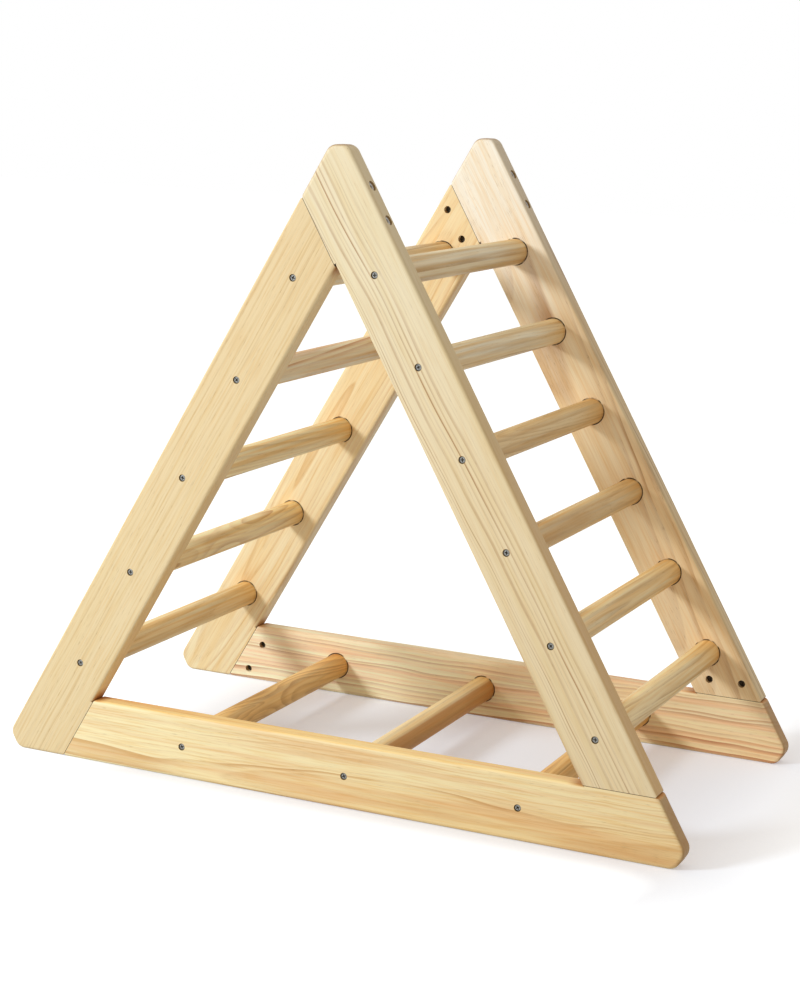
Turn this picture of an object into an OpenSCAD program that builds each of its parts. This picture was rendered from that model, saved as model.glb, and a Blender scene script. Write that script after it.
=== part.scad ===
// Climbing triangle for small children.
// Two triangular side frames of flat pine rails stand one behind the other, held apart by round rungs.
// X runs along the base, Y from the front frame to the back frame, Z up. The origin is on the floor, at the
// middle of the base. Every rail is the same board, turned by a third of a turn about the triangle's middle:
// it runs through to its own blunt corner and butts against the next rail at its other end.

/* [Side frames] */
// Side of the triangle, between the corners before they are blunted
side = 800; // [740:10:1000]
// Width of a rail, across its face
rail_w = 69; // [64:1:74]
// Thickness of a rail
rail_t = 22; // [20:0.5:26]
// Clear width between the two side frames
inner_w = 340; // [280:5:500]
// How far a corner is cut back from its sharp point
tip_cut = 18; // [14:1:24]
// Radius of the two bends of a blunt corner
tip_r = 13; // [5:0.5:13.5]
// Radius of the rail's corners at the inner edge
corner_r = 6; // [2:0.5:8]
// Radius of the rail's sharp corner where it butts at the outer edge
butt_r = 3; // [1:0.5:4]
// Radius of the rounded long edges
edge_r = 4; // [1:0.5:4.5]

/* [Rungs] */
// Diameter of a rung
rung_d = 29; // [26:0.5:32]
// Gap all round between a rung and its socket
socket_gap = 0.35; // [0.1:0.05:0.5]
// Depth of a rung's socket in the rail
socket_depth = 12; // [8:0.5:13]
// Chamfer at a rung's ends
rung_chamfer = 1; // [0.5:0.25:2]
// Distance along a ladder's outer edge from the through corner to the first rung
ladder_first = 145; // [140:1:160]
// Distance along a ladder's outer edge from its last rung to the corner where its rail butts
ladder_last = 155; // [150:1:190]
// Distance along the base from the through corner to the first rung
base_first = 185; // [150:1:240]
// Distance along the base from its first rung to its last
base_span = 385; // [200:5:400]

/* [Rung screws] */
// Diameter of a rung screw's shank
screw_d = 4; // [3:0.5:5]
// Length of a rung screw under its head
screw_len = 45; // [35:1:60]
// Diameter of a rung screw's head
screw_head_d = 6.8; // [6.2:0.1:7.5]
// Height of a rung screw's head
screw_head_h = 2.6; // [2:0.1:3]
// Depth of the counterbore under a rung screw's head
screw_sink = 3.6; // [3.2:0.1:4.5]

/* [Corner bolts and barrel nuts] */
// Diameter of a corner bolt's shank
bolt_d = 5; // [4:0.5:5]
// Length of a corner bolt under its head
bolt_len = 88; // [84:1:88]
// Diameter of a corner bolt's head
bolt_head_d = 9.8; // [9:0.1:11]
// Height of a corner bolt's head
bolt_head_h = 4.5; // [3.5:0.1:5]
// Width across the flats of the bolt head's socket
bolt_key = 4; // [3:0.5:5]
// Depth of the counterbore under a corner bolt's head
bolt_sink = 6.5; // [5.5:0.1:7]
// Distance from the corner to its first bolt, along the outer edge
bolt_first = 65.5; // [62:0.5:68]
// Distance between a corner's two bolts
bolt_pitch = 37.5; // [34:0.5:40]
// Diameter of a barrel nut
nut_d = 8; // [7.5:0.5:9]
// Length of a barrel nut
nut_len = 11; // [9:0.5:12]
// Distance from the joint to the middle of a barrel nut
nut_from_joint = 18; // [16:0.5:19]

/* [Clearances] */
// Gap all round between a screw or bolt head and its counterbore
head_gap = 0.3; // [0.1:0.05:0.5]
// Gap all round between a bolt or screw shank and the hole it passes through
shank_gap = 0.3; // [0.1:0.05:0.4]
// Gap all round between a barrel nut and its hole
nut_gap = 0.2; // [0.1:0.05:0.3]
// Gap all round between a thread's plain cylinder and the hole it grips
thread_gap = 0.1; // [0.05:0.05:0.2]

/* [Hidden] */
$fn = 64;
key_sides = 6;
over = 1;
// Angle at which a rounding arc crosses the surfaces that it joins, so that none grazes another
graze = 4;

// The rails and the corners, each in the order of its turn about the triangle's middle
RAILS = ["base", "right", "left"];
CORNERS = ["right", "top", "left"];
FRAMES = ["front", "back"];
RUNG_COUNTS = [3, 6, 5];
ladder_span = side - ladder_first - ladder_last;
RUNG_FIRSTS = [base_first, ladder_first, ladder_first];
RUNG_SPANS = [base_span, ladder_span, ladder_span];
RAIL_COLOURS = [
    ["#e6c487", "#e8d6ac", "#e9cf9f"],
    ["#dfae82", "#e2c79e", "#ead2a0"],
];
RUNG_COLOUR = "#d9c08a";
STEEL_COLOUR = "#c3c6c9";

function rail_name(frame, turn) = str(FRAMES[frame], "_", RAILS[turn], "_rail");
function rung_name(turn, number) = str(RAILS[turn], "_rung_", number);
function screws_name(frame, turn) = str(FRAMES[frame], "_", RAILS[turn], "_rung_screws");
function bolts_name(frame, turn) = str(FRAMES[frame], "_", CORNERS[turn], "_corner_bolts");
function nuts_name(frame, turn) = str(FRAMES[frame], "_", CORNERS[turn], "_barrel_nuts");

// Lengths along a rail that its 60 degree ends give
end_run = rail_w / tan(60);
joint_len = rail_w / sin(60);
tip_run = tip_cut / cos(30);
middle_z = side / 2 * tan(30);
outer_y = inner_w / 2 + rail_t;
socket_d = rung_d + 2 * socket_gap;
screw_bore_d = screw_head_d + 2 * head_gap;
bolt_bore_d = bolt_head_d + 2 * head_gap;
rung_len = inner_w + 2 * socket_depth;
web_t = rail_t - socket_depth - screw_sink;
nut_row = rail_w + nut_from_joint;

// A rail's outline, counter-clockwise, in the rail's own frame: x along its outer edge from the corner that it
// runs through to, y inwards. Its corners have these places in the list, and each has the radius of its bend.
TIP_LOW = 0;
BUTT_OUTER = 1;
BUTT_INNER = 2;
THROUGH_INNER = 3;
TIP_HIGH = 4;
OUTLINE = [
    [tip_run, 0],
    [side - joint_len, 0],
    [side - joint_len - end_run, rail_w],
    [end_run, rail_w],
    [tip_run * cos(60), tip_run * sin(60)],
];
OUTLINE_R = [tip_r, butt_r, corner_r, corner_r, tip_r];

function wrap(i) = (i + len(OUTLINE)) % len(OUTLINE);
function unit(v) = v / norm(v);
// Direction from corner i of the outline to the next corner
function heading(i) = unit(OUTLINE[wrap(i + 1)] - OUTLINE[wrap(i)]);
function turn_angle(i) = acos(heading(i - 1) * heading(i));
// Distance from a corner to the foot of its bend's centre on each of its two edges
function foot_run(i) = OUTLINE_R[wrap(i)] * cos(graze) * tan(turn_angle(i) / 2);
// Distance from the foot to the place where the arc crosses the edge
function bite_run(i) = OUTLINE_R[wrap(i)] * sin(graze);
function left_of(v) = [-v[1], v[0]];
function foot_before(i) = OUTLINE[wrap(i)] - heading(i - 1) * foot_run(i);
function foot_after(i) = OUTLINE[wrap(i)] + heading(i) * foot_run(i);
function bend_centre(i) = foot_before(i) + left_of(heading(i - 1)) * OUTLINE_R[wrap(i)] * cos(graze);
// Where the straight round-overs before and after a bend stop, inside what the bend's own takes
function into_bend(i) = foot_before(i) + heading(i - 1) * 2 * bite_run(i);
function out_of_bend(i) = foot_after(i) - heading(i) * 2 * bite_run(i);

// Places its children, drawn in a rail's own frame, at that rail. Thickness runs along z, which lies along Y.
module in_rail(turn) {
    translate([0, 0, middle_z])
        rotate([0, -120 * turn, 0])
            translate([side / 2, 0, -middle_z])
                rotate([90, 0, 180])
                    children();
}

// The back frame mirrors the front one
module in_frame(frame) {
    mirror([0, frame, 0])
        children();
}

// What lies outside the bend at corner i of the outline
module bend_waste(i) {
    out_before = -over * left_of(heading(i - 1));
    out_after = -over * left_of(heading(i));
    difference() {
        polygon([
            bend_centre(i),
            foot_before(i),
            foot_before(i) + out_before,
            OUTLINE[i] + out_before + out_after,
            foot_after(i) + out_after,
            foot_after(i),
        ]);
        translate(bend_centre(i))
            circle(r = OUTLINE_R[i]);
    }
}

// Section of what a rounded edge loses: x inwards from the side, y into the face
module round_over_section() {
    inset = edge_r * cos(graze);
    difference() {
        translate([-over, -over])
            square(inset + over);
        translate([inset, inset])
            circle(r = edge_r);
    }
}

// The same, along a straight edge from one point to another
module straight_round_over(from, to) {
    run = to - from;
    translate(from)
        rotate([90, 0, 90 + atan2(run[1], run[0])])
            linear_extrude(norm(run))
                round_over_section();
}

// The same, round the bend at corner i of the outline
module bend_round_over(i) {
    way = heading(i - 1);
    translate(bend_centre(i))
        rotate(atan2(way[1], way[0]) - 90)
            rotate_extrude(angle = turn_angle(i))
                translate([OUTLINE_R[i], 0])
                    mirror([1, 0])
                        round_over_section();
}

module on_both_faces() {
    children();
    translate([0, 0, rail_t])
        mirror([0, 0, 1])
            children();
}

module rail_outline() {
    difference() {
        polygon(OUTLINE);
        for (i = [0:len(OUTLINE) - 1])
            bend_waste(i);
    }
}

// The board, with its rounded edges but no holes. The inner edge stays square where the next rail butts.
module rail_blank() {
    joint_end = end_run + joint_len - foot_run(BUTT_INNER);
    difference() {
        linear_extrude(rail_t)
            rail_outline();
        on_both_faces() {
            straight_round_over(OUTLINE[BUTT_INNER] - over * heading(BUTT_INNER), [joint_end, rail_w]);
            straight_round_over(OUTLINE[THROUGH_INNER] - over * heading(THROUGH_INNER), into_bend(TIP_HIGH));
            bend_round_over(TIP_HIGH);
            straight_round_over(out_of_bend(TIP_HIGH), into_bend(TIP_LOW));
            bend_round_over(TIP_LOW);
            straight_round_over(out_of_bend(TIP_LOW), OUTLINE[BUTT_OUTER] + over * heading(TIP_LOW));
        }
    }
}

// Places its children at each rung of a rail, in the rail's own frame, with z from the outer face inwards
module at_rungs(turn) {
    for (k = [0:RUNG_COUNTS[turn] - 1])
        at_rung(turn, k)
            children();
}

module at_rung(turn, k) {
    pitch = RUNG_SPANS[turn] / (RUNG_COUNTS[turn] - 1);
    translate([RUNG_FIRSTS[turn] + k * pitch, rail_w / 2, 0])
        children();
}

// A rung's socket, and its screw's hole and counterbore
module rung_holes() {
    translate([0, 0, rail_t - socket_depth])
        cylinder(d = socket_d, h = socket_depth + over);
    cylinder(d = screw_d + 2 * shank_gap, h = rail_t);
    translate([0, 0, -over])
        cylinder(d = screw_bore_d, h = screw_sink + over);
}

// Places its children at each of a corner's two bolts, in the frame of the rail that runs through, with z from
// the outer edge inwards and -x towards the inner face
module at_bolts() {
    for (k = [0, 1])
        translate([bolt_first + k * bolt_pitch, 0, rail_t / 2])
            rotate([-90, 90, 0])
                children();
}

module bolt_holes() {
    at_bolts() {
        translate([0, 0, -over])
            cylinder(d = bolt_bore_d, h = bolt_sink + over);
        cylinder(d = bolt_d + 2 * shank_gap, h = bolt_sink + bolt_len + over);
        translate([0, 0, nut_row])
            rotate([0, 90, 0])
                translate([0, 0, -rail_t / 2 - over])
                    cylinder(d = nut_d + 2 * nut_gap, h = rail_t / 2 + over + nut_len / 2);
    }
}

// A rail: its own rungs' holes, the bolt holes of its own corner, and those of the corner where it butts
module rail(frame, turn) {
    color(RAIL_COLOURS[frame][turn])
        in_frame(frame)
            translate([0, -outer_y, 0])
                difference() {
                    in_rail(turn)
                        rail_blank();
                    in_rail(turn) {
                        at_rungs(turn)
                            rung_holes();
                        bolt_holes();
                    }
                    in_rail((turn + 2) % 3)
                        bolt_holes();
                }
}

module rung(turn, number) {
    pilot_len = screw_len - web_t + over;
    color(RUNG_COLOUR)
        in_rail(turn)
            at_rung(turn, number - 1)
                difference() {
                    translate([0, 0, -rung_len / 2]) {
                        cylinder(d1 = rung_d - 2 * rung_chamfer, d2 = rung_d, h = rung_chamfer);
                        translate([0, 0, rung_chamfer])
                            cylinder(d = rung_d, h = rung_len - 2 * rung_chamfer);
                        translate([0, 0, rung_len - rung_chamfer])
                            cylinder(d1 = rung_d, d2 = rung_d - 2 * rung_chamfer, h = rung_chamfer);
                    }
                    for (end = [0, 1])
                        mirror([0, 0, end])
                            translate([0, 0, -rung_len / 2 - over])
                                cylinder(d = screw_d + 2 * thread_gap, h = pilot_len + over);
                }
}

// A domed head over a shank, with z from the top of the head
module screw() {
    dome_r = screw_head_d;
    intersection() {
        cylinder(d = screw_head_d, h = screw_head_h);
        translate([0, 0, dome_r])
            sphere(r = dome_r);
    }
    translate([0, 0, screw_head_h])
        cylinder(d = screw_d, h = screw_len);
}

module rung_screws(frame, turn) {
    color(STEEL_COLOUR)
        in_frame(frame)
            translate([0, -outer_y, 0])
                in_rail(turn)
                    at_rungs(turn)
                        translate([0, 0, screw_sink - screw_head_h])
                            screw();
}

// A flat head with a six-sided socket over a shank, with z from the top of the head
module bolt() {
    key_depth = bolt_head_h - over;
    difference() {
        cylinder(d = bolt_head_d, h = bolt_head_h);
        translate([0, 0, -over])
            cylinder(d = bolt_key / cos(30), h = key_depth + over, $fn = key_sides);
    }
    translate([0, 0, bolt_head_h])
        cylinder(d = bolt_d, h = bolt_len);
}

module corner_bolts(frame, turn) {
    color(STEEL_COLOUR)
        in_frame(frame)
            translate([0, -outer_y, 0])
                in_rail(turn)
                    at_bolts()
                        translate([0, 0, bolt_sink - bolt_head_h])
                            bolt();
}

// A cross-drilled cylinder with a driver slot in the end that shows
module barrel_nut() {
    slot_w = nut_d / 8;
    slot_depth = nut_d / 6;
    difference() {
        translate([0, 0, -nut_len / 2])
            cylinder(d = nut_d, h = nut_len);
        rotate([0, 90, 0])
            cylinder(d = bolt_d + 2 * thread_gap, h = 2 * nut_d, center = true);
        translate([0, 0, -nut_len / 2])
            cube([2 * nut_d, slot_w, 2 * slot_depth], center = true);
    }
}

module barrel_nuts(frame, turn) {
    color(STEEL_COLOUR)
        in_frame(frame)
            translate([0, -outer_y, 0])
                in_rail(turn)
                    at_bolts()
                        translate([0, 0, nut_row])
                            rotate([0, 90, 0])
                                barrel_nut();
}

for (frame = [0, 1])
    for (turn = [0:2]) {
        rail(frame, turn);
        rung_screws(frame, turn);
        corner_bolts(frame, turn);
        barrel_nuts(frame, turn);
    }
for (turn = [0:2])
    for (number = [1:RUNG_COUNTS[turn]])
        rung(turn, number);
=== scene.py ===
import math
import random
from dataclasses import dataclass

import bmesh
import bpy
from bpy.props import FloatProperty, FloatVectorProperty, PointerProperty
from mathutils import Matrix, Vector


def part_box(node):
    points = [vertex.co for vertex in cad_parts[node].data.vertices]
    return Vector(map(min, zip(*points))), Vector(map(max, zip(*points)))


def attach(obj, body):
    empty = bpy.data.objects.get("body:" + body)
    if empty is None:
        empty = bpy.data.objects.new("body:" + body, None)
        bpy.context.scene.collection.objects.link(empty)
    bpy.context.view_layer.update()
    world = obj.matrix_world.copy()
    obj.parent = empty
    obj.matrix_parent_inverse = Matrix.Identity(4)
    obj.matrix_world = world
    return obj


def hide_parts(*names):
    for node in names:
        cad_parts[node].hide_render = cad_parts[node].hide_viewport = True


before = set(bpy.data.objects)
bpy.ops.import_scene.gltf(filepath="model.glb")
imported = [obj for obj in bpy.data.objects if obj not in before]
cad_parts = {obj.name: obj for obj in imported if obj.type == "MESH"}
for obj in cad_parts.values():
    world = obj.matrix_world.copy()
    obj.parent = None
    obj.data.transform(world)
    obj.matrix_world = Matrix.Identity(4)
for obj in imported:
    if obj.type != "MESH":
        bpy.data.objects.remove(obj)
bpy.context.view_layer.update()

bl_info = {
    "name": "Climbing triangle",
    "version": (1, 1, 0),
    "blender": (4, 5, 0),
    "location": "3D View > Sidebar > Triangle",
    "description": "Gives the climbing triangle its pine, its steel fasteners and its studio",
    "category": "Object",
}

MM = 0.001

# Sizes and places of the joinery, in millimetres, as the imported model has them. Places along a rail are measured
# from the corner that it runs through to, along its outer edge; places across it, from that edge.
SIDE = 800.0
RAIL_W = 69.0
RAIL_T = 22.0
OUTER_Y = 192.0
SOCKET_R = 14.85
SCREW_BORE_R = 3.7
SCREW_SINK = 3.6
BOLT_PLACES = (65.5, 103.0)
BOLT_BORE_R = 5.2
BOLT_SINK = 6.5
BOLT_TOP = 2.0
NUT_ROW = 87.0
NUT_BORE_R = 4.2

SIN60 = math.sin(math.radians(60))
COS60 = 0.5
JOINT_END = 1.5 * RAIL_W / SIN60

FRAMES = {"front": -1, "back": 1}
RAILS = ("base", "right", "left")
CORNERS = ("right", "top", "left")
# For each rail, the number of its rungs, the place of the first and the distance to the next
RUNGS = {"base": (3, 185.0, 192.5), "right": (6, 145.0, 100.0), "left": (5, 145.0, 125.0)}


# ---------------------------------------------------------------- shader arithmetic


def colour(code):
    """Linear colour of a hex code such as #ecd8ae."""
    parts = [int(code[i : i + 2], 16) / 255 for i in (1, 3, 5)]
    return tuple(c / 12.92 if c <= 0.04045 else ((c + 0.055) / 1.055) ** 2.4 for c in parts)


def deeper(tone, tint):
    return tuple(part * share for part, share in zip(tone, tint))


class Wire:
    """A number or vector socket that takes part in ordinary expressions."""

    def __init__(self, tree, socket):
        self.tree = tree
        self.socket = socket

    def __add__(self, other):
        return self.tree.math("ADD", self, other)

    def __radd__(self, other):
        return self.tree.math("ADD", other, self)

    def __sub__(self, other):
        return self.tree.math("SUBTRACT", self, other)

    def __rsub__(self, other):
        return self.tree.math("SUBTRACT", other, self)

    def __mul__(self, other):
        return self.tree.math("MULTIPLY", self, other)

    def __rmul__(self, other):
        return self.tree.math("MULTIPLY", other, self)

    def __truediv__(self, other):
        return self.tree.math("DIVIDE", self, other)

    def __rtruediv__(self, other):
        return self.tree.math("DIVIDE", other, self)

    def __pow__(self, other):
        return self.tree.math("POWER", self, other)

    def __abs__(self):
        return self.tree.math("ABSOLUTE", self)

    def floor(self):
        return self.tree.math("FLOOR", self)

    def at_least(self, other):
        return self.tree.math("MAXIMUM", self, other)

    def at_most(self, other):
        return self.tree.math("MINIMUM", self, other)

    def rise(self, start, end):
        """0 before start, 1 after end, and a smooth rise between them."""
        return self.tree.value(
            "ShaderNodeMapRange",
            {"interpolation_type": "SMOOTHSTEP"},
            {"Value": self, "From Min": start, "From Max": end},
        )

    def fall(self, start, end):
        """1 before start, 0 after end, and a smooth fall between them."""
        return 1 - self.rise(start, end)

    def bell(self, middle, reach):
        """1 at the middle, and 0 from reach on to either side of it."""
        return abs(self - middle).fall(0.0, reach)


def length(one, other):
    return (one * one + other * other) ** 0.5


class Tree:
    """The node tree of a material or of the world, with one way to add any node."""

    def __init__(self, owner):
        owner.use_nodes = True
        self.nodes = owner.node_tree.nodes
        self.links = owner.node_tree.links
        self.nodes.clear()

    def node(self, kind, settings=None, inputs=None):
        made = self.nodes.new(kind)
        for name, value in (settings or {}).items():
            setattr(made, name, value)
        for name, value in (inputs or {}).items():
            if isinstance(value, Wire):
                self.links.new(value.socket, made.inputs[name])
            else:
                made.inputs[name].default_value = value
        return made

    def value(self, kind, settings=None, inputs=None, output=0):
        return Wire(self, self.node(kind, settings, inputs).outputs[output])

    def math(self, operation, *terms):
        return self.value("ShaderNodeMath", {"operation": operation}, dict(enumerate(terms)))

    def dot(self, one, other):
        settings = {"operation": "DOT_PRODUCT"}
        return self.value("ShaderNodeVectorMath", settings, {0: one, 1: other}, "Value")

    def scaled(self, vector, factor):
        return self.value("ShaderNodeVectorMath", {"operation": "SCALE"}, {0: vector, "Scale": factor})

    def mix(self, factor, one, other, blend="MIX"):
        """A colour between two colours; each is a wire or a linear (r, g, b)."""
        ends = [c if isinstance(c, Wire) else (*c, 1.0) for c in (one, other)]
        settings = {"data_type": "RGBA", "blend_type": blend, "clamp_factor": True}
        return self.value("ShaderNodeMix", settings, {0: factor, 6: ends[0], 7: ends[1]}, 2)

    def at(self, x, y=0.0, z=0.0):
        return self.value("ShaderNodeCombineXYZ", None, {0: x, 1: y, 2: z})

    def noise(self, place, detail=0.0, roughness=0.5):
        """Soft noise from 0 to 1, with its middle at a half."""
        inputs = {"Vector": place, "Scale": 1.0, "Detail": detail, "Roughness": roughness}
        return self.value("ShaderNodeTexNoise", None, inputs)

    def seen(self):
        """1 for what the camera sees itself, in a mirror or through glass, and 0 for scattered light."""
        path = self.node("ShaderNodeLightPath")
        camera, glossy, through = (
            Wire(self, path.outputs[name]) for name in ("Is Camera Ray", "Is Glossy Ray", "Is Transmission Ray")
        )
        return camera.at_least(glossy).at_least(through)

    def finish(self, shader, target="ShaderNodeOutputMaterial"):
        self.links.new(shader.socket, self.nodes.new(target).inputs["Surface"])


def new_tree(name):
    material = bpy.data.materials.new(name)
    return material, Tree(material)


# ---------------------------------------------------------------- pine


@dataclass(frozen=True)
class Board:
    """Where a piece of wood lies: its starting point and its own three directions. Millimetres."""

    origin: tuple
    along: tuple
    across: tuple
    deep: tuple

    def place(self, point):
        """A point's places along, across and deep into the board."""
        way = Vector(point) - Vector(self.origin)
        return tuple(way.dot(Vector(d)) for d in (self.along, self.across, self.deep))

    def point(self, along, across, deep=0.0):
        steps = zip((along, across, deep), (self.along, self.across, self.deep))
        return sum((step * Vector(d) for step, d in steps), Vector(self.origin))


@dataclass(frozen=True)
class Pine:
    """How the wood of one piece looks. Lengths are in millimetres, and a strength of 1 is full."""

    pale: tuple
    warm: tuple
    line: tuple
    end: tuple = colour("#a37c4e")
    far: tuple = (1.0, 1.0, 1.0)  # what tints the piece's far end, and nothing at its start: partly its own tone, partly painted light and shade
    far_from: tuple = (0.0, SIDE)  # places along between which that tint comes up
    outer: tuple = (1.0, 1.0, 1.0)  # what tints the half near its outer edge, less and less towards its far end
    inner_edge: tuple = ()  # what tints the face of the inner edge, at its start and at its far end: partly its own tone, partly painted light and shade
    outer_edge: tuple = ()  # the same for the outer edge
    middle: tuple = (-300.0, 60.0)  # where the tree's middle was, across and deep
    pitch: float = 5.4  # between two years
    taper: float = 0.0  # drift of the years in depth, along the piece
    drift: float = 0.0  # drift of the years across, along the piece
    bump: tuple = (0.0, 1.0, 0.0)  # a swelling of the grain: place, reach and height
    wander: float = 14.0  # long waves of the grain
    ripple: float = 1.5  # short waves of the grain
    uneven: float = 3.2  # how far the years stray from their pitch, in years
    rise: float = 0.35  # how early in a year its wood darkens
    lines: float = 0.75  # strength of the dark lines between years
    lines_from: tuple = (-9.0, -5.0)  # places across between which the lines come up
    lines_along: tuple = (-900.0, -500.0)  # places along between which the lines come up
    fading: float = 0.5  # how much of a line goes where it fades
    streaks: float = 0.5  # strength of warm streaks
    streak_width: float = 10.0
    cool: float = 0.0  # strength of greyish streaks
    dashes: float = 0.35  # strength of short dark dashes
    strokes: float = 0.3  # strength of short soft strokes
    knot: tuple = (0.0, 0.0, 0.0, 1.0)  # a knot's three places and its reach
    swirl: float = 0.0  # how many rings the knot has
    heart: float = 0.0  # reach of the darker heartwood from the tree's middle
    side: tuple = ()  # painted shade: what tints a band along the middle of a rung's side
    top: tuple = ()  # painted light: what tints the top of a rung
    seed: float = 0.0


DARK_GAP = colour("#38220f")
# Painted shade on the walls of the screw and nut holes, and on those of the bolt holes
HOLE_WALL_SHADE = colour("#8a6d3c")
BOLT_WALL_SHADE = colour("#a08050")

# Tints, which multiply the colour of the wood
# Painted shade in the corners inside the frame
NOOK_SHADE = (0.6, 0.38, 0.22)
GREYISH = (0.85, 0.9, 1.02)
STROKE = (0.93, 0.81, 0.64)
HEART = (0.68, 0.46, 0.28)

# Patterns of the grain: their size along a piece and across it, in millimetres
WANDER_SIZE = (330.0, 90.0)
RIPPLE_SIZE = (70.0, 16.0)
FIBRE_SIZE = (40.0, 0.9)
STROKE_SIZE = (55.0, 2.2)
DASH_SIZE = (11.0, 0.55)
STREAK_LENGTH = 240.0
GREY_LENGTH = 200.0
FADE_LENGTH = 120.0

# The noise values between which those patterns come up
STREAKS_SHOW = (0.38, 0.72)
GREY_SHOWS = (0.45, 0.7)
STROKES_SHOW = (0.45, 0.68)
DASHES_SHOW = (0.66, 0.8)
LINES_SHOW = (0.3, 0.62)

# Steps that keep noises apart: between seeds, between years, and for the strokes and the greyish streaks
SEED_STEP = 17.3
YEAR_STEP = 3.7
STROKE_SHIFT = 7.0
GREY_SHIFT = 31.0

UNEVEN_YEARS = 2.3  # the run of years over which their pitch varies
WANDER_DEPTH = 0.5  # share of the long waves that goes into the depth
DARKEST = 0.9  # the time of a year when its wood is darkest
FAINTEST = 0.2  # strength of the faintest year's line
KNOT_STRETCH = 0.45  # a knot's shortening along the piece, so that it comes out long
HEART_FADE = 1.0
FIBRE_SHADE = 0.18  # how much the fibres shade the wood

# Places, in millimetres, between which the tints come up or fade out
OUTER_HALF = (15.0, 50.0)
OUTER_RUN = (250.0, 700.0)
EDGE_RUN = (100.0, 620.0)
# Painted shade along a rung's side, and painted light on its top
RUNG_SIDE_SHADE = (-2.0, 8.0)  # the middle of the band and its reach
RUNG_TOP_LIGHT = (10.5, 14.5)

# How squarely a face has to look towards an edge or an end of the board to take that one's tint
EDGE_FACING = (0.4, 0.9)
END_FACING = (0.45, 0.85)
END_STRENGTH = 0.8

# Relief and sheen of the planed surface
FIBRE_HEIGHT = 0.3
LINE_DEPTH = 0.5
RELIEF_STRENGTH = 0.25
RELIEF = 0.4
PINE_ROUGHNESS = (0.5, 0.12)  # its least, and what the fibres add
PINE_GLOSS = 0.3


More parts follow.
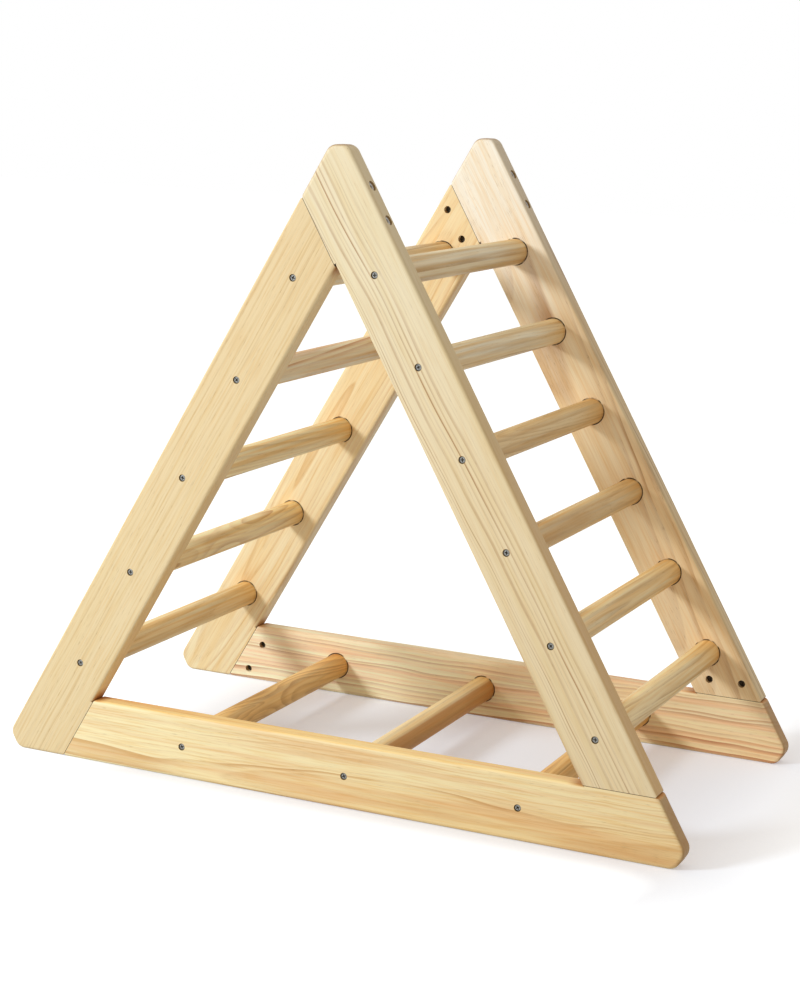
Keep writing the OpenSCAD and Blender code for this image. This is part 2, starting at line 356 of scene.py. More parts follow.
def pine(name, board, look, marks=None):
    """Solid pine: growth rings round the look's middle, seen on every face of the piece."""
    material, tree = new_tree(name)
    here = tree.value("ShaderNodeTexCoord", output="Object")
    shift = look.seed * SEED_STEP

    def measured(direction):
        start = Vector(board.origin).dot(Vector(direction))
        return tree.dot(here, tuple(d / MM for d in direction)) - start

    u, v, w = (measured(d) for d in (board.along, board.across, board.deep))

    def grain(run, width, detail=0.0, roughness=0.5, apart=0.0):
        """Noise drawn out along the piece."""
        return tree.noise(tree.at(u / run + (shift + apart), v / width, w / width), detail, roughness)

    def tinted(mask, base, tint):
        return tree.mix(mask, base, tree.mix(1.0, base, tint, "MULTIPLY"))

    wander = (grain(*WANDER_SIZE) - 0.5) * look.wander
    ripple = (grain(*RIPPLE_SIZE) - 0.5) * look.ripple
    place, swell, height = look.bump
    side = v + u * look.drift + wander + ripple + u.bell(place, swell) * height - look.middle[0]
    depth = w + u * look.taper + wander * WANDER_DEPTH - look.middle[1]
    reach = length(side, depth)
    stray = tree.noise(tree.at(reach / (UNEVEN_YEARS * look.pitch) + shift)) - 0.5
    age = reach / look.pitch + stray * look.uneven
    if look.swirl:
        knot_u, knot_v, knot_w, knot_reach = look.knot
        away = length(length((u - knot_u) * KNOT_STRETCH, v - knot_v), w - knot_w)
        age = age + away.fall(0.0, knot_reach) * look.swirl
    year = age.floor()
    season = age - year
    late = season.rise(look.rise, DARKEST) * season.fall(DARKEST, 1.0)
    weight = tree.value("ShaderNodeTexWhiteNoise", {"noise_dimensions": "1D"}, {"W": year + shift})
    fade = tree.noise(tree.at(u / FADE_LENGTH + shift, year * YEAR_STEP)).rise(*LINES_SHOW)
    dark = late * (FAINTEST + (1 - FAINTEST) * weight * weight) * (1 - look.fading + look.fading * fade)
    dark = dark * look.lines * v.rise(*look.lines_from) * u.rise(*look.lines_along)

    broad = grain(STREAK_LENGTH, look.streak_width, 1.0).rise(*STREAKS_SHOW)
    fibre = grain(*FIBRE_SIZE, 2.0, 0.6)
    stroke = grain(*STROKE_SIZE, 1.0, apart=STROKE_SHIFT).rise(*STROKES_SHOW)
    dash = grain(*DASH_SIZE).rise(*DASHES_SHOW) * late

    wood = tree.mix(broad * look.streaks, look.pale, look.warm)
    if look.cool:
        grey = grain(GREY_LENGTH, look.streak_width, apart=GREY_SHIFT).rise(*GREY_SHOWS)
        wood = tinted(grey * look.cool, wood, GREYISH)
    if look.heart:
        wood = tinted(reach.fall(look.heart - HEART_FADE, look.heart + HEART_FADE), wood, HEART)
    wood = tinted(stroke * look.strokes, wood, STROKE)
    wood = tree.mix(dark, wood, look.line)
    wood = tree.mix(dash * look.dashes, wood, look.end)
    # The far end: partly its own tone, partly painted light and shade
    wood = tinted(u.rise(*look.far_from), wood, look.far)
    wood = tinted(v.fall(*OUTER_HALF) * u.fall(*OUTER_RUN), wood, look.outer)
    # Painted shade along the middle of a rung's side, and painted light on its top
    if look.side:
        wood = tinted(w.bell(*RUNG_SIDE_SHADE), wood, look.side)
    if look.top:
        wood = tinted(w.rise(*RUNG_TOP_LIGHT), wood, look.top)
    wood = tree.scaled(wood, 1 - FIBRE_SHADE / 2 + FIBRE_SHADE * fibre)

    normal = tree.value("ShaderNodeNewGeometry", output="Normal")
    inwards = tree.dot(normal, board.across)
    # The faces of the edges: partly their own tone, partly painted light and shade, by the way they face
    for faces, tints in ((inwards, look.inner_edge), (0.0 - inwards, look.outer_edge)):
        if tints:
            wood = tinted(faces.rise(*EDGE_FACING), wood, tree.mix(u.rise(*EDGE_RUN), *tints))
    endwise = abs(tree.dot(normal, board.along)).rise(*END_FACING)
    wood = tree.mix(endwise * END_STRENGTH, wood, look.end)
    if marks:
        gap, hole_wall_shade, bolt_seat_shade, nook_shade = marks(tree, u, v, w)
        # Painted shade in the inside corners and on the walls of the holes; then the dark joints
        wood = tinted(nook_shade * inwards.rise(*EDGE_FACING), wood, NOOK_SHADE)
        wood = tree.mix(hole_wall_shade, wood, HOLE_WALL_SHADE)
        wood = tree.mix(bolt_seat_shade, wood, BOLT_WALL_SHADE)
        wood = tree.mix(gap, wood, DARK_GAP)

    relief = {"Strength": RELIEF_STRENGTH, "Distance": RELIEF * MM}
    relief["Height"] = fibre * FIBRE_HEIGHT - dark * LINE_DEPTH
    surface = {"Base Color": wood, "Specular IOR Level": PINE_GLOSS}
    surface["Roughness"] = PINE_ROUGHNESS[0] + PINE_ROUGHNESS[1] * fibre
    surface["Normal"] = tree.value("ShaderNodeBump", None, relief)
    tree.finish(tree.value("ShaderNodeBsdfPrincipled", None, surface))
    return material


def rail_board(frame_name, rail):
    """A rail's own directions: along its outer edge from its through corner, inwards across it, and in from its
    outer face."""
    turn = RAILS.index(rail)
    x, z = ((SIDE / 2, 0.0), (0.0, SIDE * SIN60), (-SIDE / 2, 0.0))[turn]
    along = ((-1.0, 0.0, 0.0), (COS60, 0.0, -SIN60), (COS60, 0.0, SIN60))[turn]
    across = ((0.0, 0.0, 1.0), (-SIN60, 0.0, -COS60), (SIN60, 0.0, -COS60))[turn]
    facing = FRAMES[frame_name]
    return Board((x, facing * OUTER_Y, z), along, across, (0.0, -facing, 0.0))


def nut_places(frame_name, rail):
    """Places of the two barrel nuts in a rail: those of the corner where it butts on the next rail."""
    through = rail_board(frame_name, RAILS[(RAILS.index(rail) + 1) % len(RAILS)])
    own = rail_board(frame_name, rail)
    return [own.place(through.point(place, NUT_ROW))[:2] for place in BOLT_PLACES]


# Millimetres over which the marks of the joinery fade out
BUTT_GAP = (0.2, 0.9)
SOCKET_RIM = 0.3
SOCKET_GAP = (0.7, 1.2)
SOCKET_SHOWS = (0.6, 0.1)  # from the inner face
HOLE_FADE = 0.3
SINK_FADE = 0.2
# Reach of the painted shade in the corners inside the frame: along the rail, from the butt and across
NOOK_RUN = 18.0
NOOK_BUTT = (1.0, 14.0)
NOOK_WIDTH = 4.0

RAGGED_SCALE = 0.12  # of the noise that breaks up the gaps round the rungs, per millimetre
RAGGED_SHOWS = (0.32, 0.5)


def rail_marks(frame_name, rail):
    """Makes the masks of a rail's dark gaps, of the painted shade on the walls of its screw and nut holes and on
    the walls of its bolt holes, and of the painted shade in the corners inside the frame."""
    count, first, pitch = RUNGS[rail]
    nuts = nut_places(frame_name, rail)

    def marks(tree, u, v, w):
        to_butt = (SIDE - RAIL_W / SIN60 - u) * SIN60 - v * COS60
        butt = to_butt.fall(*BUTT_GAP)
        index = ((u - first) / pitch + 0.5).floor().at_least(0.0).at_most(count - 1.0)
        to_rung = length(u - first - index * pitch, v - RAIL_W / 2)
        ragged = tree.noise(tree.scaled(tree.at(u, v, w), RAGGED_SCALE), 1.0).rise(*RAGGED_SHOWS)
        gap_start, gap_end = (SOCKET_R + part for part in SOCKET_GAP)
        shown_from, shown = (RAIL_T - part for part in SOCKET_SHOWS)
        socket = to_rung.rise(SOCKET_R - SOCKET_RIM, SOCKET_R) * to_rung.fall(gap_start, gap_end)
        socket = socket * w.rise(shown_from, shown) * ragged
        # Painted shade on the walls of the screw, bolt and nut holes
        screw = to_rung.fall(SCREW_BORE_R, SCREW_BORE_R + HOLE_FADE) * w.fall(SCREW_SINK, SCREW_SINK + SINK_FADE)
        to_bolt = length(abs(u - sum(BOLT_PLACES) / 2) - (BOLT_PLACES[1] - BOLT_PLACES[0]) / 2, w - RAIL_T / 2)
        bolt = to_bolt.fall(BOLT_BORE_R, BOLT_BORE_R + HOLE_FADE) * v.fall(BOLT_SINK, BOLT_SINK + SINK_FADE)
        to_nut = length(u - nuts[0][0], v - nuts[0][1]).at_most(length(u - nuts[1][0], v - nuts[1][1]))
        nut = to_nut.fall(NUT_BORE_R, NUT_BORE_R + HOLE_FADE)
        inner_edge = v.rise(RAIL_W - NOOK_WIDTH, RAIL_W)
        nook_shade = (u.fall(JOINT_END, JOINT_END + NOOK_RUN) + to_butt.fall(*NOOK_BUTT)) * inner_edge
        return butt.at_least(socket), screw.at_least(nut), bolt, nook_shade

    return marks


RAIL_GRAIN = {
    "front_right": dict(
        line=colour("#a67a4a"), middle=(-253.0, 40.0), pitch=4.8, drift=0.03, bump=(175.0, 90.0, 3.5), wander=9.0,
        ripple=2.6, rise=0.45, lines=1.0, lines_from=(4.0, 26.0), fading=0.5, streaks=0.5, seed=1.0,
    ),
    "front_left": dict(
        line=colour("#c4a06a"), middle=(-320.0, 30.0), pitch=5.2, wander=9.0, ripple=2.0, lines=0.5, fading=0.8,
        streaks=0.3, streak_width=6.0, dashes=0.6, strokes=0.45, seed=2.0,
    ),
    "front_base": dict(
        line=colour("#c98f4c"), middle=(12.0, -20.0), pitch=4.2, taper=0.012, wander=22.0, ripple=6.0, rise=0.1,
        lines=0.75, lines_from=(80.0, 30.0), fading=0.7, streaks=0.9, strokes=0.7, seed=3.0,
    ),
    "back_right": dict(
        line=colour("#a9733f"), middle=(60.0, -40.0), pitch=7.5, taper=0.05, wander=34.0, ripple=5.0, lines=1.0,
        lines_along=(110.0, 260.0), fading=0.75, streaks=0.6, streak_width=9.0, dashes=0.6, strokes=0.55, seed=4.0,
    ),
    "back_left": dict(
        line=colour("#d9a562"), middle=(20.0, -12.0), pitch=7.0, taper=-0.09, wander=30.0, ripple=5.0, lines=0.7,
        fading=0.75, streaks=0.6, streak_width=9.0, strokes=0.45, seed=5.0,
    ),
    "back_base": dict(
        line=colour("#c0764a"), middle=(-260.0, 20.0), pitch=5.6, wander=14.0, ripple=6.0, rise=-0.1, lines=0.9,
        fading=0.6, streaks=0.8, streak_width=7.0, strokes=0.5, seed=6.0,
    ),
}
# What tints each rail's far end, the half near its outer edge, and the faces of its edges: partly the wood's own
# tone, partly painted light and shade
RAIL_TINTS = {
    "front_right": dict(
        far=(1.01, 0.955, 0.88), far_from=(80.0, 420.0), outer_edge=((0.93, 0.93, 0.92), (0.82, 0.7, 0.56)),
    ),
    "front_left": dict(far=(1.0, 0.97, 0.93), inner_edge=((1.1, 0.96, 0.74), (1.06, 1.1, 1.18))),
    "front_base": dict(
        far=(1.0, 1.05, 1.1), outer=(0.96, 0.88, 0.78), inner_edge=((1.12, 1.08, 0.95), (1.06, 0.9, 0.64)),
    ),
    "back_right": dict(
        far=(0.97, 0.84, 0.63), far_from=(60.0, 330.0), outer_edge=((0.72, 0.7, 0.66), (0.8, 0.84, 0.88)),
    ),
    "back_left": dict(far=(1.0, 0.96, 0.89), inner_edge=((0.92, 0.96, 1.15), (0.92, 0.96, 1.15))),
    "back_base": dict(far=(1.08, 1.24, 1.42), outer=(1.02, 0.97, 0.9)),
}
# What the grain of all rungs has in common; its far, side and top tints are painted: shade and bounce towards the
# far rail, shade along the side, light on the top
RUNG_GRAIN = dict(
    wander=20.0, ripple=2.5, rise=0.2, lines=0.85, fading=0.6, far=(0.95, 0.8, 0.58), far_from=(60.0, 185.0),
    streaks=0.9, streak_width=5.0, cool=0.6, strokes=0.45, side=(0.92, 0.87, 0.8), top=(1.14, 1.12, 1.04),
)
RUNG_LINE = (0.56, 0.38, 0.2)  # what makes a rung's lines of its tone
RUNG_WARM = (0.88, 0.72, 0.5)  # what makes its warm streaks of its tone
TREE_MIDDLE = 24.0  # from a rung's middle to its tree's, in millimetres
RUNG_PITCHES = (4.5, 7.0)
RUNG_TAPERS = (-0.08, 0.08)
RUNG_SEEDS = 10.0  # where the seeds of the rungs start, past those of the rails
# Rungs with a figure of their own
RUNG_FIGURES = {
    "base_rung_2": dict(middle=(10.0, -9.0), taper=0.0, wander=4.0, heart=20.5, streaks=0.4),
    "base_rung_3": dict(
        line=colour("#a4602a"), middle=(9.0, 4.0), pitch=3.6, taper=0.1, wander=10.0, lines=1.3, fading=0.3,
        streaks=0.4, knot=(-30.0, 8.0, 9.0, 46.0), swirl=3.0,
    ),
    "left_rung_2": dict(
        line=colour("#b0703a"), middle=(7.0, 9.0), pitch=6.4, taper=-0.1, wander=16.0, lines=0.8, fading=0.6,
        knot=(-20.0, 8.0, 8.0, 40.0), swirl=2.0,
    ),
    "left_rung_4": dict(line=colour("#c07a3e"), pitch=8.0, lines=0.8),
}
# The wood of each rung, from the first of its rail on
RUNG_WOODS = {
    "base": ("amber", "straw", "amber"),
    "right": ("cream", "cream", "tan", "tan", "straw", "straw"),
    "left": ("straw", "honey", "honey", "cream", "cream"),
}


class PineSettings(bpy.types.PropertyGroup):
    """Tones of the wood: a pale and a warm one for each rail, and those of the rungs."""

    front_right: FloatVectorProperty(
        name="Front right rail", description="Pale tone of the front right rail", subtype="COLOR",
        default=colour("#eadab6"),
    )
    front_right_warm: FloatVectorProperty(
        name="Front right streaks", description="Warm tone of the front right rail", subtype="COLOR",
        default=colour("#e2cd9c"),
    )
    front_left: FloatVectorProperty(
        name="Front left rail", description="Pale tone of the front left rail", subtype="COLOR",
        default=colour("#e5cea1"),
    )
    front_left_warm: FloatVectorProperty(
        name="Front left streaks", description="Warm tone of the front left rail", subtype="COLOR",
        default=colour("#dfc48d"),
    )
    front_base: FloatVectorProperty(
        name="Front base rail", description="Pale tone of the front base rail", subtype="COLOR",
        default=colour("#f8e2ae"),
    )
    front_base_warm: FloatVectorProperty(
        name="Front base streaks", description="Warm tone of the front base rail", subtype="COLOR",
        default=colour("#edc690"),
    )
    back_right: FloatVectorProperty(
        name="Back right rail", description="Pale tone of the back right rail", subtype="COLOR",
        default=colour("#fcf2de"),
    )
    back_right_warm: FloatVectorProperty(
        name="Back right streaks", description="Warm tone of the back right rail", subtype="COLOR",
        default=colour("#f5dfba"),
    )
    back_left: FloatVectorProperty(
        name="Back left rail", description="Pale tone of the back left rail", subtype="COLOR",
        default=colour("#f8e4b8"),
    )
    back_left_warm: FloatVectorProperty(
        name="Back left streaks", description="Warm tone of the back left rail", subtype="COLOR",
        default=colour("#f2d092"),
    )
    back_base: FloatVectorProperty(
        name="Back base rail", description="Pale tone of the back base rail", subtype="COLOR",
        default=colour("#ffeabb"),
    )
    back_base_warm: FloatVectorProperty(
        name="Back base streaks", description="Warm tone of the back base rail", subtype="COLOR",
        default=colour("#ffcf9f"),
    )
    rung_cream: FloatVectorProperty(
        name="Cream rungs", description="Tone of the cream rungs", subtype="COLOR", default=colour("#f5e9ca"),
    )
    rung_straw: FloatVectorProperty(
        name="Straw rungs", description="Tone of the straw rungs", subtype="COLOR", default=colour("#f8e3b4"),
    )
    rung_tan: FloatVectorProperty(
        name="Tan rungs", description="Tone of the tan rungs", subtype="COLOR", default=colour("#e9cf9e"),
    )
    rung_honey: FloatVectorProperty(
        name="Honey rungs", description="Tone of the honey rungs", subtype="COLOR", default=colour("#ffefc2"),
    )
    rung_amber: FloatVectorProperty(
        name="Amber rungs", description="Tone of the amber rungs", subtype="COLOR", default=colour("#f4cf8e"),
    )


# ---------------------------------------------------------------- steel


class SteelSettings(bpy.types.PropertyGroup):
    """Tones of the fasteners, and the shape of the rung screws."""

    zinc: FloatVectorProperty(
        name="Zinc", description="Tone of the corner bolts", subtype="COLOR", default=colour("#eef1f3"),
    )
    screw: FloatVectorProperty(
        name="Screws", description="Tone of the rung screws", subtype="COLOR", default=colour("#96958f"),
    )
    # Painted shade in the recesses of the fasteners, and the barrel nuts' steel, dark brown as painted shade of
    # their holes
    dark: FloatVectorProperty(
        name="Dark steel", description="Tone of recesses and barrel nuts", subtype="COLOR",
        default=colour("#453a28"),
    )
    head_width: FloatProperty(
        name="Screw head", description="Width of a rung screw's head", unit="LENGTH", default=0.0068,
        min=0.005, max=0.0073,
    )
    head_height: FloatProperty(
        name="Head height", description="Height of a rung screw's head", unit="LENGTH", default=0.0026,
        min=0.002, max=0.0035,
    )
    shank_width: FloatProperty(
        name="Shank", description="Width of a rung screw's shank", unit="LENGTH", default=0.004,
        min=0.003, max=0.005,
    )
    shank_length: FloatProperty(
        name="Shank length", description="Length of a rung screw under its head", unit="LENGTH", default=0.045,
        min=0.03, max=0.06,
    )
    cross_width: FloatProperty(
        name="Cross width", description="Width of an arm of the cross recess", unit="LENGTH", default=0.0011,
        min=0.0005, max=0.002,
    )
    cross_reach: FloatProperty(
        name="Cross reach", description="Reach of an arm of the cross recess from the middle", unit="LENGTH",
        default=0.0021, min=0.001, max=0.0028,
    )
    cross_depth: FloatProperty(
        name="Cross depth", description="Depth of the cross recess", unit="LENGTH", default=0.0016,
        min=0.0005, max=0.002,
    )


BLOTCH = 1.5  # size of the blotches in the zinc, in millimetres
BLOTCH_TONE = 0.75
BLOTCH_ROUGHNESS = 0.2
RECESS_FADE = 0.8
# How far down its recess a fastener is painted dark as shade, in millimetres
SCREW_SHADE_DEPTH = 0.15
BOLT_SHADE_DEPTH = 0.8


def steel(name, tone, roughness, shine, recess=None):
    """Plated steel with faint blotches in its sheen; recess makes the mask of the painted shade inside it."""
    material, tree = new_tree(name)
    here = tree.value("ShaderNodeTexCoord", output="Object")
    cloud = tree.noise(tree.scaled(here, 1 / (BLOTCH * MM)), 2.0)
    metal = tree.mix(cloud, tone, tuple(BLOTCH_TONE * c for c in tone))
    if recess:
        # Painted shade down in the recess
        metal = tree.mix(recess(tree, here), metal, tuple(settings("steel").dark))
    surface = {"Base Color": metal, "Metallic": shine, "Roughness": roughness + BLOTCH_ROUGHNESS * cloud}
    tree.finish(tree.value("ShaderNodeBsdfPrincipled", None, surface))
    return material


def below(direction, start, deep):
    """Mask of what lies deeper than deep, from a starting point in a direction. Millimetres."""

    def mask(tree, here):
        place = tree.dot(here, tuple(d / MM for d in direction)) - Vector(start).dot(Vector(direction))
        return place.rise(deep, deep + RECESS_FADE)

    return mask


RIM_POINTS = 40
RIM_WIDTH = 0.1  # of the rounded rim of a screw's head, as a share of the head's width
RIM_BEND = 0.3  # share of the rim at which it bends
CROSS_FOOT = (0.35, 0.6)  # of the cross's foot: half its arm's width and its reach, as shares of those at its mouth


def ring(bm, matrix, radius, depth):
    angles = (math.tau * k / RIM_POINTS for k in range(RIM_POINTS))
    return [bm.verts.new(matrix @ Vector((radius * math.cos(a), radius * math.sin(a), depth))) for a in angles]


def cross(bm, matrix, half, reach, depth):
    """The twelve corners of a cross, counter-clockwise."""
    corners = []
    for quarter in range(4):
        turn = Matrix.Rotation(quarter * math.pi / 2, 4, "Z")
        for x, y in ((reach, -half), (reach, half), (half, half)):
            corners.append(bm.verts.new(matrix @ turn @ Vector((x, y, depth))))
    return corners


def skin(bm, one, other):
    """Quads between two loops of as many points."""
    for k, point in enumerate(one):
        after = (k + 1) % len(one)
        bm.faces.new((point, one[after], other[after], other[k]))


def loop_edges(bm, loop):
    """The edges of a closed loop of points, made where there are none yet."""
    pairs = ((point, loop[(k + 1) % len(loop)]) for k, point in enumerate(loop))
    return [bm.edges.get(pair) or bm.edges.new(pair) for pair in pairs]


def add_screw(bm, matrix, shape):
    """A pan head with a cross recess over its shank, with z from the top of the head."""
    head = shape.head_width / 2
    shank = shape.shank_width / 2
    rim = RIM_WIDTH * shape.head_width
    bend = RIM_BEND * rim
    rings = [(head - rim, 0.0), (head - bend, bend), (head, rim), (head, shape.head_height)]
    rings += [(shank, shape.head_height), (shank, shape.head_height + shape.shank_length)]
    loops = [ring(bm, matrix, radius, depth) for radius, depth in rings]
    for one, other in zip(loops, loops[1:]):
        skin(bm, one, other)
    bm.faces.new(loops[-1])
    foot_width, foot_reach = CROSS_FOOT
    mouth = cross(bm, matrix, shape.cross_width / 2, shape.cross_reach, 0.0)
    foot = cross(bm, matrix, foot_width * shape.cross_width, foot_reach * shape.cross_reach, shape.cross_depth)
    bmesh.ops.triangle_fill(bm, edges=loop_edges(bm, loops[0]) + loop_edges(bm, mouth), use_beauty=True)
    skin(bm, mouth, foot)
    bmesh.ops.triangle_fill(bm, edges=loop_edges(bm, foot))


# ---------------------------------------------------------------- stage


class StageSettings(bpy.types.PropertyGroup):
    """Camera, light and floor."""

    camera_place: FloatVectorProperty(
        name="Camera place", description="Where the camera stands", subtype="TRANSLATION", unit="LENGTH",
        default=(0.9502, -2.0598, 0.7496),
    )
    camera_turn: FloatVectorProperty(
        name="Camera turn", description="Tilt, roll and heading of the camera", subtype="EULER", unit="ROTATION",
        default=tuple(math.radians(a) for a in (79.596, -1.816, 24.317)),
    )
    lens: FloatProperty(name="Lens", description="Focal length", unit="CAMERA", default=76.54, min=20, max=200)
    shift: FloatVectorProperty(
        name="Shift", description="Sideways and upward shift of the picture", size=2, default=(-0.04, -0.04),
    )
    light_place: FloatVectorProperty(
        name="Light place", description="Where the softbox hangs", subtype="TRANSLATION", unit="LENGTH",
        default=(-1.3, -1.65, 1.2),
    )
    light_target: FloatVectorProperty(
        name="Light target", description="What the softbox faces", subtype="TRANSLATION", unit="LENGTH",
        default=(0.0, 0.0, 0.3),
    )
    light_power: FloatProperty(
        name="Light power", description="Power of the softbox, in watts", default=32.5, min=0, max=1000,
    )
    light_width: FloatProperty(
        name="Light width", description="Width of the round softbox", unit="LENGTH", default=0.48, min=0.1, max=4,
    )
    light_tone: FloatVectorProperty(
        name="Light tone", description="Tone of the softbox", subtype="COLOR", default=(0.84, 0.91, 1.0),
    )
    fill_tone: FloatVectorProperty(
        name="Fill tone", description="Tone of the light from all round", subtype="COLOR",
        default=(1.0, 0.91, 0.8),
    )
    fill: FloatProperty(name="Fill", description="Light from all round", default=0.6, min=0, max=2)
    paper: FloatVectorProperty(
        name="Paper", description="Tone of the floor", subtype="COLOR", default=(0.68, 0.74, 0.8),
    )
    # The floor's own light between the rails, pinkish as painted bounce from the wood
    lift_near: FloatVectorProperty(
        name="Lift near", description="What the floor shows by itself between the rails", subtype="COLOR",
        default=(0.28, 0.25, 0.26),
    )
    lift_far: FloatVectorProperty(
        name="Lift far", description="What the floor shows by itself round the piece", subtype="COLOR",
        default=(0.72, 0.72, 0.72),
    )


FLOOR_REACH = 9.0
PAPER_GRAIN = 2.0  # size of the paper's grain, in millimetres
PAPER_SHADE = 0.02  # how much that grain shades it
PAPER_ROUGHNESS = 0.9

# Metres between which the floor's own light fades in or out, so that the shade shows between the rails and to the
# right of the piece
LIGHT_LEFT = (-0.4, -0.2)
LIGHT_BESIDE = (0.0, 0.06)
LIGHT_RIGHT = (0.3, 0.42)
LIGHT_ROUND = (0.0, 0.3)


def paper_floor(stage):
    """White paper with painted light of its own, which lets the piece's shade show only between its rails and to
    its right, pinkish there as painted bounce from the wood. Metres.
    """
    material, tree = new_tree("floor_paper")
    here = tree.value("ShaderNodeTexCoord", output="Object")
    x, y = (tree.dot(here, axis) for axis in ((1.0, 0.0, 0.0), (0.0, 1.0, 0.0)))
    outside = (abs(y) - OUTER_Y * MM).at_least(0.0)
    clear = x.fall(*LIGHT_LEFT).at_least(outside.rise(*LIGHT_BESIDE) * x.fall(*LIGHT_RIGHT))
    clear = clear.at_least(length((x - LIGHT_RIGHT[0]).at_least(0.0), outside).rise(*LIGHT_ROUND))
    lift = tree.mix(clear, tuple(stage.lift_near), tuple(stage.lift_far))
    grain = tree.noise(tree.scaled(here, 1 / (PAPER_GRAIN * MM)), 1.0)
    white = tree.scaled(tree.at(*stage.paper), 1 - PAPER_SHADE / 2 + PAPER_SHADE * grain)
    paper = {"Base Color": white, "Roughness": PAPER_ROUGHNESS, "Specular IOR Level": 0.0}
    paper.update({"Emission Color": tree.scaled(lift, tree.seen()), "Emission Strength": 1.0})
    tree.finish(tree.value("ShaderNodeBsdfPrincipled", None, paper))
    return material


# ---------------------------------------------------------------- operators


def settings(name):
    return getattr(bpy.context.scene, "triangle_" + name)


def dress(node, material):
    for slot in node.material_slots:
        slot.material = material


def new_object(name, bm):
    mesh = bpy.data.meshes.new(name)
    bmesh.ops.recalc_face_normals(bm, faces=bm.faces)
    bm.to_mesh(mesh)
    bm.free()
    made = bpy.data.objects.new(name, mesh)
    bpy.context.scene.collection.objects.link(made)
    return made


class TRIANGLE_OT_rails(bpy.types.Operator):
    """Gives each of the six rails its own board of pine"""

    bl_idname = "triangle.rails"
    bl_label = "Rails"

    def execute(self, context):
        tones = settings("pine")
        for side in FRAMES:
            for rail in RAILS:
                name = f"{side}_{rail}"
                pale, warm = (tuple(getattr(tones, key)) for key in (name, name + "_warm"))
                look = Pine(pale=pale, warm=warm, **RAIL_GRAIN[name], **RAIL_TINTS[name])
                wood = pine(name + "_pine", rail_board(side, rail), look, rail_marks(side, rail))
                dress(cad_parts[name + "_rail"], wood)
        return {"FINISHED"}


class TRIANGLE_OT_rungs(bpy.types.Operator):
    """Gives each rung its own turned pine"""

    bl_idname = "triangle.rungs"
    bl_label = "Rungs"

    def execute(self, context):
        tones = settings("pine")
        seed = RUNG_SEEDS
        chance = random.Random(3)
        for rail in RAILS:
            for number, wood in enumerate(RUNG_WOODS[rail], 1):
                name = f"{rail}_rung_{number}"
                low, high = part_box(name)
                board = Board(tuple((low + high) / 2 / MM), (0.0, 1.0, 0.0), (1.0, 0.0, 0.0), (0.0, 0.0, 1.0))
                tone = tuple(getattr(tones, "rung_" + wood))
                seed += 1.0
                turn = chance.uniform(0.0, math.tau)
                own = dict(
                    line=deeper(tone, RUNG_LINE),
                    middle=(TREE_MIDDLE * math.cos(turn), TREE_MIDDLE * math.sin(turn)),
                    pitch=chance.uniform(*RUNG_PITCHES),
                    taper=chance.uniform(*RUNG_TAPERS),
                    seed=seed,
                )
                figure = {**RUNG_GRAIN, **own, **RUNG_FIGURES.get(name, {})}
                look = Pine(pale=tone, warm=deeper(tone, RUNG_WARM), **figure)
                dress(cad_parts[name], pine(name + "_pine", board, look))
        return {"FINISHED"}


class TRIANGLE_OT_screws(bpy.types.Operator):
    """Puts a cross-recessed screw at each end of each rung"""

    bl_idname = "triangle.screws"
    bl_label = "Rung screws"

    def execute(self, context):
        shape = settings("steel")
        chance = random.Random(5)
        for side, facing in FRAMES.items():
            inwards = Matrix.Rotation(facing * math.pi / 2, 4, "X")
            top = facing * (OUTER_Y - SCREW_SINK) * MM + facing * shape.head_height
            # The head's rim and sides and its cross recess, below its top, are painted in shade
            recess = below((0.0, -facing, 0.0), (0.0, top / MM, 0.0), SCREW_SHADE_DEPTH)
            metal = steel(f"{side}_screw_zinc", tuple(shape.screw), roughness=0.3, shine=0.5, recess=recess)
            for rail in RAILS:
                board = rail_board(side, rail)
                count, first, pitch = RUNGS[rail]
                bm = bmesh.new()
                for k in range(count):
                    x, _, z = board.point(first + k * pitch, RAIL_W / 2)
                    turn = Matrix.Rotation(chance.uniform(0, math.pi / 2), 4, "Z")
                    add_screw(bm, Matrix.Translation((x * MM, top, z * MM)) @ inwards @ turn, shape)
                screws = new_object(f"{side}_{rail}_cross_screws", bm)
                screws.data.materials.append(metal)
                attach(screws, "root")
                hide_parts(f"{side}_{rail}_rung_screws")
        return {"FINISHED"}


class TRIANGLE_OT_bolts(bpy.types.Operator):
    """Gives the corner bolts bright zinc, with painted shade in their sockets"""

    bl_idname = "triangle.bolts"
    bl_label = "Corner bolts"

    def execute(self, context):
        zinc = tuple(settings("steel").zinc)
        for side in FRAMES:
            for rail, corner in zip(RAILS, CORNERS):
                board = rail_board(side, rail)
                # Painted shade on the bolt in its socket and below the top of its head
                recess = below(board.across, board.origin, BOLT_TOP + BOLT_SHADE_DEPTH)
                metal = steel(f"{side}_{corner}_bolt_zinc", zinc, roughness=0.3, shine=0.1, recess=recess)
                dress(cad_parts[f"{side}_{corner}_corner_bolts"], metal)
        return {"FINISHED"}


class TRIANGLE_OT_nuts(bpy.types.Operator):
    """Gives the barrel nuts dark steel, dark brown as painted shade of their holes"""

    bl_idname = "triangle.nuts"
    bl_label = "Barrel nuts"

    def execute(self, context):
        metal = steel("nut_steel", tuple(settings("steel").dark), roughness=0.45, shine=0.5)
        for side in FRAMES:
            for corner in CORNERS:
                dress(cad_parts[f"{side}_{corner}_barrel_nuts"], metal)
        return {"FINISHED"}


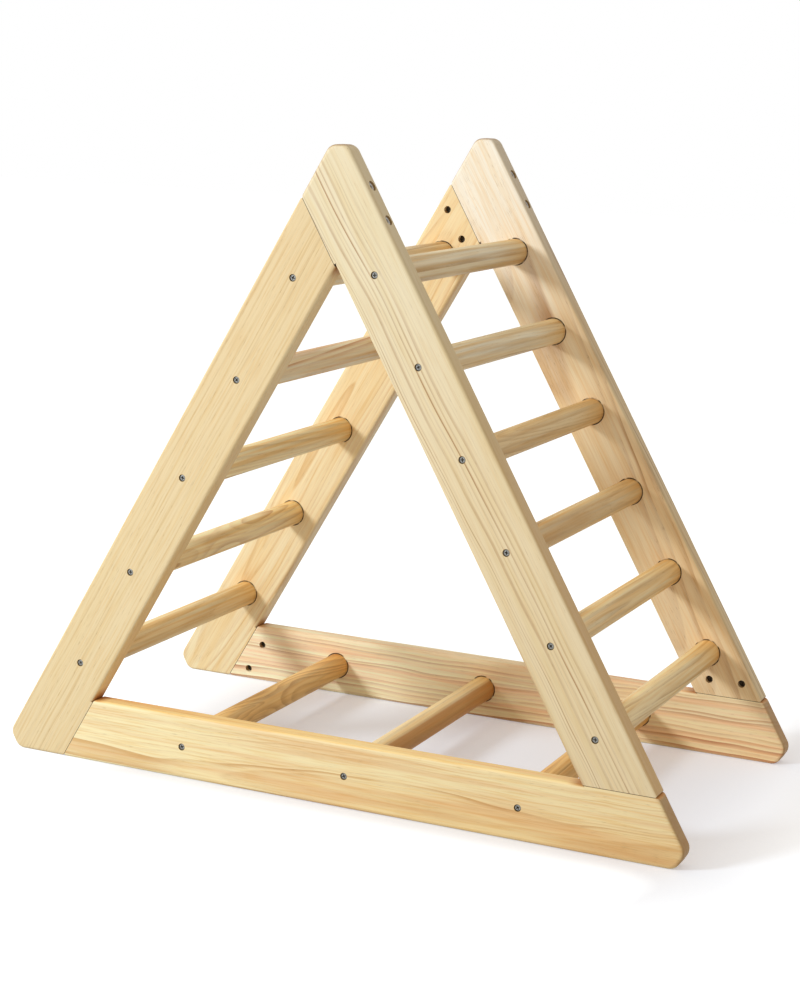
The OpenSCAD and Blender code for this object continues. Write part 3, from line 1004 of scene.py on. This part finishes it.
class TRIANGLE_OT_stage(bpy.types.Operator):
    """Sets the floor, the light and the camera"""

    bl_idname = "triangle.stage"
    bl_label = "Stage"

    def execute(self, context):
        scene = context.scene
        stage = settings("stage")
        scene.view_settings.view_transform = "Standard"

        bm = bmesh.new()
        bmesh.ops.create_grid(bm, x_segments=1, y_segments=1, size=FLOOR_REACH)
        floor = new_object("floor", bm)
        floor.data.materials.append(paper_floor(stage))

        world = bpy.data.worlds.new("studio")
        scene.world = world
        tree = Tree(world)
        fill, white = (
            tree.value("ShaderNodeBackground", None, {"Color": (*tone, 1.0), "Strength": strength})
            for tone, strength in ((stage.fill_tone, stage.fill), ((1.0, 1.0, 1.0), 1.0))
        )
        shown = tree.value("ShaderNodeMixShader", None, {0: tree.seen(), 1: fill, 2: white})
        tree.finish(shown, "ShaderNodeOutputWorld")

        lamp = bpy.data.lights.new("softbox", "AREA")
        lamp.shape = "DISK"
        lamp.color = stage.light_tone
        lamp.energy = stage.light_power
        lamp.size = stage.light_width
        softbox = bpy.data.objects.new("softbox", lamp)
        softbox.location = stage.light_place
        softbox.rotation_mode = "QUATERNION"
        way = Vector(stage.light_target) - Vector(stage.light_place)
        softbox.rotation_quaternion = way.to_track_quat("-Z", "Y")
        scene.collection.objects.link(softbox)

        lens = bpy.data.cameras.new("camera")
        lens.lens = stage.lens
        lens.shift_x, lens.shift_y = stage.shift
        camera = bpy.data.objects.new("camera", lens)
        camera.location = stage.camera_place
        camera.rotation_euler = stage.camera_turn
        scene.collection.objects.link(camera)
        scene.camera = camera
        return {"FINISHED"}


class TRIANGLE_PT_panel(bpy.types.Panel):
    """Lists the steps that dress the climbing triangle"""

    bl_idname = "TRIANGLE_PT_panel"
    bl_label = "Climbing triangle"
    bl_space_type = "VIEW_3D"
    bl_region_type = "UI"
    bl_category = "Triangle"

    def draw(self, context):
        for step in STEPS:
            self.layout.operator(step.bl_idname)


SETTINGS = {"triangle_pine": PineSettings, "triangle_steel": SteelSettings, "triangle_stage": StageSettings}
STEPS = (
    TRIANGLE_OT_rails,
    TRIANGLE_OT_rungs,
    TRIANGLE_OT_screws,
    TRIANGLE_OT_bolts,
    TRIANGLE_OT_nuts,
    TRIANGLE_OT_stage,
)


def register():
    for cls in (*SETTINGS.values(), *STEPS, TRIANGLE_PT_panel):
        bpy.utils.register_class(cls)
    for name, cls in SETTINGS.items():
        setattr(bpy.types.Scene, name, PointerProperty(type=cls))


def unregister():
    for name in SETTINGS:
        delattr(bpy.types.Scene, name)
    for cls in (TRIANGLE_PT_panel, *reversed(STEPS), *reversed(SETTINGS.values())):
        bpy.utils.unregister_class(cls)


def main():
    register()
    for step in STEPS:
        area, name = step.bl_idname.split(".")
        getattr(getattr(bpy.ops, area), name)()


if __name__ == "__main__":
    main()
